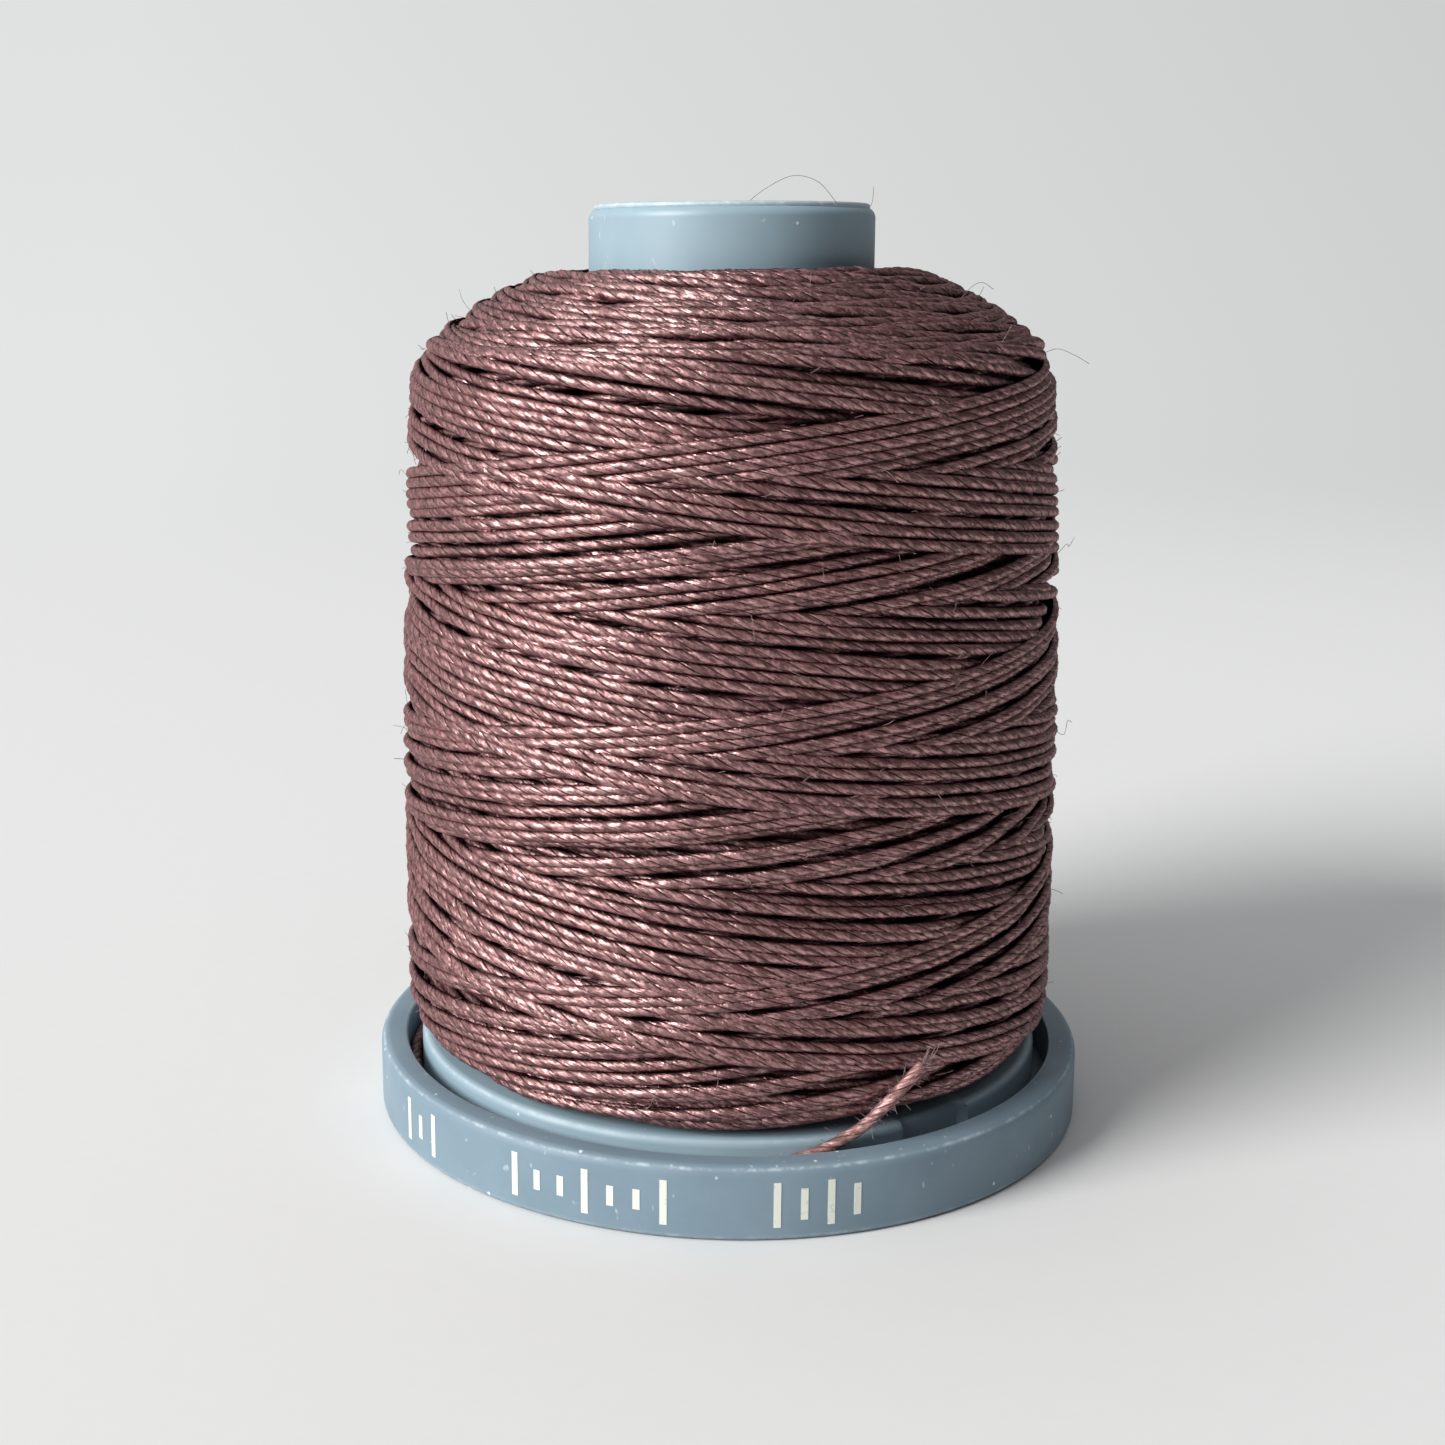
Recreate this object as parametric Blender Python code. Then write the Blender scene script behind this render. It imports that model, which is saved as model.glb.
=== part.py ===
"""A waxed thread spool: a hollow winding core that snaps onto a dished base, and its cross-wound thread.

Metres, +Z up. The origin is the centre of the base's underside, on the spool's axis. Azimuths are measured from
-Y, the front, towards +X.
"""

import math

import bmesh
import bpy
from mathutils import Vector

# How finely round shapes are divided.
TURN_STEPS = 64
ARC_STEPS = 3
CATCH_STEPS = 8
SHARP_EDGE_DEG = 35.0
CUT_MARGIN = 0.001

# The base: a dished disc whose rim stands round the core's flange.
BASE_RADIUS = 0.0170
RIM_HEIGHT = 0.0033
RIM_INNER_RADIUS = 0.01573
RIM_TOP_FILLET = 0.00045
RIM_INNER_FILLET = 0.00015
BASE_FOOT_FILLET = 0.00025
FLOOR_TOP = 0.0012
RUNNING_GAP = 0.0003
FOOT_INNER_RADIUS = 0.0128
FOOT_RECESS = 0.0004

# The base's latch stem, which stands inside the core and is split into four fingers.
SPINDLE_RADIUS = 0.0033
STEM_RADIUS = 0.00465
BARB_RADIUS = 0.00515
BARB_BOTTOM = 0.0110
BARB_EDGE = 0.0003
STEM_TOP = 0.0124
STEM_TIP_RADIUS = 0.0044
FINGER_SLOT_WIDTH = 0.0011
FINGER_SLOT_BOTTOM = 0.0045
FINGER_SLOT_TURNS_DEG = (45.0, 135.0)

# The core: flange, barrel and collar in one moulding.
FLANGE_RADIUS = 0.0150
FLANGE_BOTTOM = FLOOR_TOP + RUNNING_GAP
FLANGE_TOP = 0.0036
FLANGE_FILLET = 0.0004
FLANGE_WEB_BOTTOM = 0.0025
HUB_BOTTOM = 0.0019
WEB_INNER_RADIUS = 0.0078
WEB_OUTER_RADIUS = 0.0137
BARREL_RADIUS = 0.00657
BARREL_BORE_RADIUS = 0.00545
CORE_TOP = 0.0427
COLLAR_FILLET = 0.00065
END_WALL = 0.0012
SPINDLE_LEAD_IN = 0.0003
LEDGE_RADIUS = 0.00495
LEDGE_BOTTOM = 0.0076
LEDGE_TOP = 0.0085
LEDGE_LEAD = 0.0005

# The thread catch: a shallow step cut into the flange's edge.
CATCH_START_DEG = 31.5
CATCH_END_DEG = 46.0
CATCH_DEPTH = 0.00045

# The wound package: (radius, height) up its outside. It is clear of the flange and the barrel, slightly bellied,
# and its shoulder falls to the collar.
WINDING_CLEARANCE = 0.0003
WINDING_TOP = 0.0399
WINDING_PROFILE = (
    (0.01460, 0.0039),
    (0.01535, 0.0051),
    (0.01555, 0.0069),
    (0.01555, 0.0139),
    (0.015325, 0.0265),
    (0.01490, 0.0335),
    (0.01450, 0.0364),
    (0.01330, 0.03738),
    (0.01150, 0.03829),
    (0.00940, 0.039235),
)

# The thread's free end. Each stop is (radius, azimuth in degrees, height) of its centreline.
THREAD_DIAMETER = 0.00055
GROOVE_RADIUS = 0.01536
TAIL_STOPS = (
    (0.01575, 110.0, 0.0048),
    (0.01567, 116.0, 0.0044),
    (0.01554, 122.0, 0.0039),
    (0.01542, 128.0, 0.0033),
    (GROOVE_RADIUS, 137.0, 0.0026),
    (GROOVE_RADIUS, 152.0, 0.0021),
    (GROOVE_RADIUS, 180.0, 0.0019),
    (GROOVE_RADIUS, 335.0, 0.0019),
    (GROOVE_RADIUS, 356.0, 0.0021),
    (GROOVE_RADIUS, 367.0, 0.0026),
    (GROOVE_RADIUS, 375.0, 0.0031),
    (0.01550, 381.8, 0.0040),
    (0.01575, 384.7, 0.0048),
    (0.01595, 387.0, 0.0055),
    (0.01610, 389.0, 0.0061),
    (0.01620, 391.2, 0.0067),
)
TAIL_STOP_SPREAD_DEG = 12.0
TAIL_POINT_SPACING = 2.6 * THREAD_DIAMETER

PLASTIC_BLUE_GREY = (0.23, 0.33, 0.38, 1.0)
PLASTIC_LIGHT = (0.27, 0.38, 0.44, 1.0)
THREAD_MAUVE = (0.20, 0.10, 0.09, 1.0)
THREAD_TAN = (0.38, 0.19, 0.16, 1.0)


def clear_scene():
    for old in list(bpy.data.objects):
        bpy.data.objects.remove(old, do_unlink=True)


def material(name, colour, roughness, metallic=0.0):
    made = bpy.data.materials.new(name)
    made.use_nodes = True
    shader = made.node_tree.nodes["Principled BSDF"]
    shader.inputs["Base Color"].default_value = colour
    shader.inputs["Roughness"].default_value = roughness
    shader.inputs["Metallic"].default_value = metallic
    return made


def on_axis(radius, azimuth_deg, height):
    """A point at this radius and height, at an azimuth from the front."""
    angle = math.radians(azimuth_deg)
    return Vector((radius * math.sin(angle), -radius * math.cos(angle), height))


def fillet(centre_radius, centre_height, size, start_deg, end_deg):
    """Outline points (radius, height) along an arc, its angles measured from outward, counterclockwise."""
    points = []
    for step in range(ARC_STEPS + 1):
        angle = math.radians(start_deg + (end_deg - start_deg) * step / ARC_STEPS)
        points.append(
            (centre_radius + size * math.cos(angle), centre_height + size * math.sin(angle))
        )
    return points


def turned(name, outline, look):
    """A body of revolution round the spool's axis from a closed outline of (radius, height) points."""
    shape = bmesh.new()
    corners = [shape.verts.new((0.0, -radius, height)) for radius, height in outline]
    edges = [
        shape.edges.new((corner, corners[(index + 1) % len(corners)]))
        for index, corner in enumerate(corners)
    ]
    bmesh.ops.spin(
        shape,
        geom=corners + edges,
        cent=(0.0, 0.0, 0.0),
        axis=(0.0, 0.0, 1.0),
        angle=2.0 * math.pi,
        steps=TURN_STEPS,
        use_merge=True,
    )
    bmesh.ops.recalc_face_normals(shape, faces=shape.faces)
    return placed(name, shape, look)


def placed(name, shape, look):
    """Puts a bmesh into the scene as a smooth-shaded object with its material."""
    mesh = bpy.data.meshes.new(name)
    shape.to_mesh(mesh)
    shape.free()
    mesh.materials.append(look)
    mesh.shade_smooth()
    mesh.set_sharp_from_angle(angle=math.radians(SHARP_EDGE_DEG))
    made = bpy.data.objects.new(name, mesh)
    bpy.context.scene.collection.objects.link(made)
    return made


def cut(body, cutter):
    """Subtracts a hidden cutter from a body."""
    cutter.hide_render = True
    cutter.display_type = "WIRE"
    step = body.modifiers.new("cut_" + cutter.name, "BOOLEAN")
    step.operation = "DIFFERENCE"
    step.solver = "EXACT"
    step.object = cutter


def finger_slot_cutter(name, turn_deg, look):
    """A bar across the stem that parts two opposite pairs of latch fingers."""
    height = STEM_TOP - FINGER_SLOT_BOTTOM + CUT_MARGIN
    shape = bmesh.new()
    bmesh.ops.create_cube(shape, size=1.0)
    bmesh.ops.scale(shape, vec=(4.0 * STEM_RADIUS, FINGER_SLOT_WIDTH, height), verts=shape.verts)
    bar = placed(name, shape, look)
    bar.location = (0.0, 0.0, FINGER_SLOT_BOTTOM + height / 2.0)
    bar.rotation_euler = (0.0, 0.0, math.radians(turn_deg))
    return bar


def catch_cutter(look):
    """A curved bar that steps the flange's edge back between the catch's two ends."""
    inner = FLANGE_RADIUS - CATCH_DEPTH
    outer = FLANGE_RADIUS + CUT_MARGIN
    low = FLANGE_BOTTOM - CUT_MARGIN
    high = FLANGE_TOP + CUT_MARGIN
    shape = bmesh.new()
    rings = []
    for step in range(CATCH_STEPS + 1):
        azimuth = CATCH_START_DEG + (CATCH_END_DEG - CATCH_START_DEG) * step / CATCH_STEPS
        section = ((inner, low), (outer, low), (outer, high), (inner, high))
        rings.append([shape.verts.new(on_axis(radius, azimuth, height)) for radius, height in section])
    for near, far in zip(rings, rings[1:]):
        for corner in range(4):
            after = (corner + 1) % 4
            shape.faces.new((near[corner], near[after], far[after], far[corner]))
    shape.faces.new(rings[0])
    shape.faces.new(rings[-1])
    bmesh.ops.recalc_face_normals(shape, faces=shape.faces)
    return placed("catch_cutter", shape, look)


def build_base(look):
    """The dished base with its foot ring, its rim and the four latch fingers of its hollow stem."""
    rim_fillet = fillet(
        BASE_RADIUS - RIM_TOP_FILLET, RIM_HEIGHT - RIM_TOP_FILLET, RIM_TOP_FILLET, 0.0, 90.0
    )
    foot_fillet = fillet(
        BASE_RADIUS - BASE_FOOT_FILLET, BASE_FOOT_FILLET, BASE_FOOT_FILLET, -90.0, 0.0
    )
    lip_fillet = fillet(
        RIM_INNER_RADIUS + RIM_INNER_FILLET, RIM_HEIGHT - RIM_INNER_FILLET, RIM_INNER_FILLET, 90.0, 180.0
    )
    outline = [
        (SPINDLE_RADIUS, FOOT_RECESS),
        (FOOT_INNER_RADIUS, FOOT_RECESS),
        (FOOT_INNER_RADIUS + FOOT_RECESS, 0.0),
        *foot_fillet,
        *rim_fillet,
        *lip_fillet,
        (RIM_INNER_RADIUS, FLOOR_TOP),
        (STEM_RADIUS, FLOOR_TOP),
        (STEM_RADIUS, BARB_BOTTOM),
        (BARB_RADIUS, BARB_BOTTOM),
        (BARB_RADIUS, BARB_BOTTOM + BARB_EDGE),
        (STEM_TIP_RADIUS, STEM_TOP),
        (SPINDLE_RADIUS, STEM_TOP),
    ]
    base = turned("base_cap", outline, look)
    for turn_deg in FINGER_SLOT_TURNS_DEG:
        cut(base, finger_slot_cutter(f"finger_slot_{turn_deg:.0f}", turn_deg, look))
    return base


def build_core(look):
    """The barrel with its collar, its flange and the ledge that the latch fingers hook over."""
    flange_fillet = fillet(
        FLANGE_RADIUS - FLANGE_FILLET, FLANGE_TOP - FLANGE_FILLET, FLANGE_FILLET, 0.0, 90.0
    )
    collar_fillet = fillet(
        BARREL_RADIUS - COLLAR_FILLET, CORE_TOP - COLLAR_FILLET, COLLAR_FILLET, 0.0, 90.0
    )
    outline = [
        (BARREL_BORE_RADIUS, HUB_BOTTOM),
        (WEB_INNER_RADIUS, HUB_BOTTOM),
        (WEB_INNER_RADIUS, FLANGE_WEB_BOTTOM),
        (WEB_OUTER_RADIUS, FLANGE_WEB_BOTTOM),
        (WEB_OUTER_RADIUS, FLANGE_BOTTOM),
        (FLANGE_RADIUS, FLANGE_BOTTOM),
        *flange_fillet,
        (BARREL_RADIUS, FLANGE_TOP),
        *collar_fillet,
        (SPINDLE_RADIUS + SPINDLE_LEAD_IN, CORE_TOP),
        (SPINDLE_RADIUS, CORE_TOP - SPINDLE_LEAD_IN),
        (SPINDLE_RADIUS, CORE_TOP - END_WALL),
        (BARREL_BORE_RADIUS, CORE_TOP - END_WALL),
        (BARREL_BORE_RADIUS, LEDGE_TOP + BARREL_BORE_RADIUS - LEDGE_RADIUS),
        (LEDGE_RADIUS, LEDGE_TOP),
        (LEDGE_RADIUS, LEDGE_BOTTOM),
        (BARREL_BORE_RADIUS, LEDGE_BOTTOM - LEDGE_LEAD),
    ]
    core = turned("spool_core", outline, look)
    cut(core, catch_cutter(look))
    return core


def build_winding(look):
    """The wound thread as one turned ring: a slightly bellied side and a shoulder that falls to the collar."""
    inner = BARREL_RADIUS + WINDING_CLEARANCE
    outline = [(inner, FLANGE_TOP + WINDING_CLEARANCE), *WINDING_PROFILE, (inner, WINDING_TOP)]
    return turned("thread_winding", outline, look)


def smooth_route(stops, spacing):
    """Points about this far apart along a Catmull-Rom curve through the stops."""
    ends = [stops[0] * 2.0 - stops[1], *stops, stops[-1] * 2.0 - stops[-2]]
    points = []
    for index in range(1, len(ends) - 2):
        before, start, end, after = ends[index - 1 : index + 3]
        pieces = max(1, round((end - start).length / spacing))
        for step in range(pieces):
            t = step / pieces
            points.append(
                0.5
                * (
                    2.0 * start
                    + (end - before) * t
                    + (2.0 * before - 5.0 * start + 4.0 * end - after) * t**2
                    + (3.0 * start - before - 3.0 * end + after) * t**3
                )
            )
    points.append(stops[-1])
    return points


def build_tail(look):
    """The thread's free end: off the package low at the right, round the lock groove, and out at the front."""
    stops = []
    for near, far in zip(TAIL_STOPS, TAIL_STOPS[1:]):
        radius, azimuth, height = near
        next_radius, next_azimuth, next_height = far
        pieces = max(1, math.ceil((next_azimuth - azimuth) / TAIL_STOP_SPREAD_DEG))
        for step in range(pieces):
            share = step / pieces
            stops.append(
                on_axis(
                    radius + (next_radius - radius) * share,
                    azimuth + (next_azimuth - azimuth) * share,
                    height + (next_height - height) * share,
                )
            )
    stops.append(on_axis(*TAIL_STOPS[-1]))
    points = smooth_route(stops, TAIL_POINT_SPACING)

    path = bpy.data.curves.new("thread_tail", "CURVE")
    path.dimensions = "3D"
    path.bevel_depth = THREAD_DIAMETER / 2.0
    path.bevel_resolution = 2
    path.use_fill_caps = True
    strand = path.splines.new("POLY")
    strand.points.add(len(points) - 1)
    for place, point in zip(strand.points, points):
        place.co = (*point, 1.0)
    strand.use_smooth = True
    path.materials.append(look)
    tail = bpy.data.objects.new("thread_tail", path)
    bpy.context.scene.collection.objects.link(tail)
    return tail


def main():
    clear_scene()
    build_base(material("base_plastic", PLASTIC_BLUE_GREY, 0.45))
    core = build_core(material("core_plastic", PLASTIC_LIGHT, 0.45))
    winding = build_winding(material("waxed_thread", THREAD_MAUVE, 0.55))
    tail = build_tail(material("loose_thread", THREAD_TAN, 0.65))
    for carried in (winding, tail):
        carried.parent = core


main()
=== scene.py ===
"""The looks of a waxed thread spool, round its CAD frame: the whole thread wound turn by turn as a plied
strand, satin moulded plastic, and a pale studio.

Metres, +Z up, on the spool's axis, standing on z = 0. Azimuths are measured from -Y, the front, towards +X.
"""

import math

import bmesh
import bpy
import numpy as np
from mathutils import Matrix, Vector


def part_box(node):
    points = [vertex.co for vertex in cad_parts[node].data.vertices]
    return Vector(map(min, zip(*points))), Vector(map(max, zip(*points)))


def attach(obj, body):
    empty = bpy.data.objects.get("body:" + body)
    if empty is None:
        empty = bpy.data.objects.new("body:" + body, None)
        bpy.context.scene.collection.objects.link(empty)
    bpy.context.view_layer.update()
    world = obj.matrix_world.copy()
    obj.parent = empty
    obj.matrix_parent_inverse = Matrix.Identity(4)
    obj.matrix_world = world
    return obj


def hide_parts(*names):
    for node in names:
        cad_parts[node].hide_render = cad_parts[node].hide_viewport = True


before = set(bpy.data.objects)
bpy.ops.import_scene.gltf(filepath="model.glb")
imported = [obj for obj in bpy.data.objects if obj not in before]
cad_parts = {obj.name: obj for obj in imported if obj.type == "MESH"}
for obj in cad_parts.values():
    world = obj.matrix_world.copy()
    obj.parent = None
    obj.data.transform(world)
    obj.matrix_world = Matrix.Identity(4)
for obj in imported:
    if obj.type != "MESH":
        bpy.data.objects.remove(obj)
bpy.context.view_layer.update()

MM = 0.001


def in_scene(name, data):
    """A new object, put into the scene."""
    made = bpy.data.objects.new(name, data)
    bpy.context.scene.collection.objects.link(made)
    return made


# --- Camera ---

CAMERA_DISTANCE = 93.7 * MM
CAMERA_HEIGHT = 40.1 * MM
# Its tilt, turn and roll in radians, and its lens in millimetres.
CAMERA_DOWN = 0.1985
CAMERA_TURN = 0.0578
CAMERA_ROLL = -0.0037
CAMERA_LENS = 49.5
CAMERA_SENSOR = 36.0
CAMERA_REACH = (5.0 * MM, 20.0)
CAMERA_SHIFT_X = 0.0742
CAMERA_SHIFT_Y = -0.0416


def make_camera():
    """A close camera at the collar's height, looking down at the spool a little."""
    lens = bpy.data.cameras.new("camera")
    lens.sensor_width = CAMERA_SENSOR
    lens.lens = CAMERA_LENS
    lens.shift_x = CAMERA_SHIFT_X
    lens.shift_y = CAMERA_SHIFT_Y
    lens.clip_start, lens.clip_end = CAMERA_REACH
    camera = in_scene("camera", lens)
    camera.matrix_world = (
        Matrix.Translation((0.0, -CAMERA_DISTANCE, CAMERA_HEIGHT))
        @ Matrix.Rotation(CAMERA_TURN, 4, "Z")
        @ Matrix.Rotation(math.pi / 2.0 - CAMERA_DOWN, 4, "X")
        @ Matrix.Rotation(CAMERA_ROLL, 4, "Z")
    )
    bpy.context.scene.camera = camera


make_camera()

# --- Material helpers ---


def new_material(name, **shader_values):
    """A node material. Underscores in the keywords stand for spaces in the shader's socket names."""
    made = bpy.data.materials.new(name)
    made.use_nodes = True
    shader = made.node_tree.nodes["Principled BSDF"]
    for socket, value in shader_values.items():
        shader.inputs[socket.replace("_", " ")].default_value = value
    return made, made.node_tree, shader


def drive(tree, shader, **outputs):
    """Links outputs into the shader's sockets, named as in new_material."""
    for socket, output in outputs.items():
        tree.links.new(output, shader.inputs[socket.replace("_", " ")])


def add(tree, kind, inputs, **settings):
    """Adds a shader node. Each input is a number, a colour, or another node's output to link."""
    node = tree.nodes.new("ShaderNode" + kind)
    for name, value in settings.items():
        setattr(node, name, value)
    for name, value in inputs.items():
        if isinstance(value, bpy.types.NodeSocket):
            tree.links.new(value, node.inputs[name])
        else:
            node.inputs[name].default_value = value
    return node


def maths(tree, operation, first, second=0.0, third=0.0):
    return add(tree, "Math", {0: first, 1: second, 2: third}, operation=operation).outputs[0]


def mapped(tree, value, low, high, to_low=0.0, to_high=1.0, **settings):
    """Maps value from one range to another, held at both ends."""
    inputs = {"Value": value, "From Min": low, "From Max": high, "To Min": to_low, "To Max": to_high}
    return add(tree, "MapRange", inputs, **settings).outputs["Result"]


def mixed(tree, share, first, second):
    """A colour between first and second."""
    return add(tree, "Mix", {0: share, 6: first, 7: second}, data_type="RGBA").outputs[2]


def noise(tree, vector, scale, detail=2.0, roughness=0.5):
    inputs = {"Vector": vector, "Scale": scale, "Detail": detail, "Roughness": roughness}
    return add(tree, "TexNoise", inputs).outputs["Fac"]


def scaled(tree, vector, factors):
    return add(tree, "VectorMath", {0: vector, 1: factors}, operation="MULTIPLY").outputs["Vector"]


def attribute(tree, name, output):
    return add(tree, "Attribute", {}, attribute_name=name).outputs[output]


# --- Mesh helpers ---


def tube_faces(rings, sides, first, closed_ends):
    """The corners of a tube's quads and caps, and how many corners each face has."""
    ring = np.arange(rings - 1)[:, None] * sides + first
    side = np.arange(sides)[None, :]
    after = (side + 1) % sides
    quads = np.stack([ring + side, ring + after, ring + sides + after, ring + sides + side], axis=2)
    corners = [quads.ravel()]
    sizes = [np.full(quads.size // 4, 4)]
    if closed_ends:
        corners.append(np.arange(sides)[::-1] + first)
        corners.append(np.arange(sides) + (rings - 1) * sides + first)
        sizes.append(np.full(2, sides))
    return np.concatenate(corners), np.concatenate(sizes)


def turned_rings(outline, steps):
    """An outline of (radius, height) points turned round the axis, as a run for grid_mesh."""
    azimuth = np.arange(steps) * 2.0 * math.pi / steps
    return np.array([on_axis(radius, azimuth, np.full(steps, height)) for radius, height in outline])


def grid_mesh(name, runs, closed_ends=True):
    """A mesh of tubes, each from points of shape (rings, sides, 3), with its faces pointing outwards."""
    corners, sizes, first = [], [], 0
    for points in runs:
        rings, sides, _ = points.shape
        run_corners, run_sizes = tube_faces(rings, sides, first, closed_ends)
        corners.append(run_corners)
        sizes.append(run_sizes)
        first += rings * sides
    places = np.concatenate([points.reshape(-1, 3) for points in runs])
    corners = np.concatenate(corners)
    sizes = np.concatenate(sizes)
    mesh = bpy.data.meshes.new(name)
    mesh.vertices.add(len(places))
    mesh.vertices.foreach_set("co", places.astype(np.float32).ravel())
    mesh.loops.add(len(corners))
    mesh.loops.foreach_set("vertex_index", corners.astype(np.int32))
    mesh.polygons.add(len(sizes))
    mesh.polygons.foreach_set("loop_start", (np.cumsum(sizes) - sizes).astype(np.int32))
    mesh.update(calc_edges=True)
    mesh.shade_smooth()
    return mesh


def set_attribute(mesh, name, kind, values):
    """Stores one number or vector for each vertex."""
    layer = mesh.attributes.new(name, kind, "POINT")
    layer.data.foreach_set("vector" if kind == "FLOAT_VECTOR" else "value", values.astype(np.float32).ravel())


def place(name, mesh, look, body, slot, *stands_for):
    """Puts a mesh into the scene as a piece of the object."""
    mesh.materials.append(look)
    piece = in_scene(name, mesh)
    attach(piece, body)
    if stands_for:
        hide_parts(*stands_for)
    return piece


def along_lengths(points):
    """The distance along a path to each of its points."""
    steps = np.linalg.norm(np.diff(points, axis=0), axis=1)
    return np.concatenate([[0.0], np.cumsum(steps)])


# --- Plied strand ---

# Three plies, twisted together once in every lay. Each ply has four points across: degrees from its groove,
# and radius factor.
PLIES = 3
LAY = 3.1 * MM
RING_SPACING = 0.24 * MM
PLY_SECTION = ((0.0, 0.84), (15.0, 0.955), (60.0, 1.02), (105.0, 0.955))
PLAIN_SECTION = tuple((turn, 0.97) for turn in range(0, 360, 72))


def plied_section():
    """The angle and radius factor of each point round the three plies."""
    return [(ply * 360.0 / PLIES + turn, reach) for ply in range(PLIES) for turn, reach in PLY_SECTION]


def twist(along, lay):
    """How far a strand has twisted at each distance along it, as a column: not at all without a lay."""
    return along[:, None] * (2.0 * math.pi / lay if lay else 0.0)


def strand_points(centres, out, along, diameter, section, lay):
    """Rings of a strand round its centreline. A section is an angle and a radius factor for each side."""
    tangent = np.gradient(centres, axis=0)
    tangent /= np.linalg.norm(tangent, axis=1)[:, None]
    out = out - (out * tangent).sum(1)[:, None] * tangent
    out /= np.linalg.norm(out, axis=1)[:, None]
    across = np.cross(tangent, out)
    turn, reach = np.array(section).T
    turn = np.radians(turn)[None, :] + twist(along, lay)
    spread = np.cos(turn)[:, :, None] * out[:, None, :] + np.sin(turn)[:, :, None] * across[:, None, :]
    return centres[:, None, :] + spread * reach[None, :, None] * diameter / 2.0


def strand_mesh(name, runs, diameter, section, lay):
    """Strands along runs of (centres, outward directions, distances along the thread).

    The mesh keeps each point's place in the strand (across, across, along) as "fibre", how near it is to a
    ply's crest as "crest", and how far it faces outwards as "facing"."""
    turn, reach = np.array(section).T
    turn = np.radians(turn)
    across = (np.cos(turn) * diameter / 2.0, np.sin(turn) * diameter / 2.0)
    crest = np.ones(len(reach)) if np.ptp(reach) == 0.0 else (reach - reach.min()) / np.ptp(reach)
    fibres, crests, facings = [], [], []
    for _, _, along in runs:
        fibres.append(np.stack(np.broadcast_arrays(*across, along[:, None]), axis=-1).reshape(-1, 3))
        crests.append(np.tile(crest, len(along)))
        facings.append(np.cos(turn[None, :] + twist(along, lay)).ravel())
    mesh = grid_mesh(name, [strand_points(*run, diameter, section, lay) for run in runs])
    set_attribute(mesh, "fibre", "FLOAT_VECTOR", np.concatenate(fibres))
    set_attribute(mesh, "crest", "FLOAT", np.concatenate(crests))
    set_attribute(mesh, "facing", "FLOAT", np.concatenate(facings))
    return mesh


# Scales of the thread's noises, across, across and along it, for each metre.
FILAMENT_SCALE = (9500.0, 9500.0, 1100.0)
PATCH_SCALE = (3800.0, 3800.0, 2000.0)
FLECK_SCALE = (7500.0, 7500.0, 3600.0)
TONE_SCALE = (300.0, 300.0, 130.0)
# The range of each noise that counts, and what it turns into, or else 0 to 1.
STREAKS = (0.32, 0.68)
# The pale patches and bright flecks are painted highlights and glints on the wax.
PAINTED_HIGHLIGHT_PATCHES = (0.48, 0.66, 0.0, 0.6)
PAINTED_GLINT_FLECKS = (0.66, 0.74, 0.0, 0.8)
TONE_SHADES = (0.3, 0.7, 0.78, 1.2)
OPEN_PLY = (0.0, 0.5)
PATCH_SHINE = (0.42, 0.60, 0.30, 1.0)
# Factors of the body colour between its streaks, and of the pale colour in its flecks, which are painted
# glints.
STREAK_SHADES = (0.5, 1.2)
PAINTED_GLINT_GAIN = 1.7
# How high a crest reaches out of the groove's painted shade, and how much the filaments fray that edge.
GROOVE_EDGE = 0.40
EDGE_FRAY = 0.8
THREAD_IOR = 3.0
MEAN_SHINE = 0.4
WAX_TINT = (1.0, 0.62, 0.61, 1.0)
THREAD_BUMP = {"Strength": 0.85, "Distance": 0.06 * MM}


def shaded(colour, factor):
    """A colour made lighter or darker by a factor, held at white."""
    return tuple(min(1.0, factor * part) for part in colour[:3]) + (1.0,)


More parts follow.
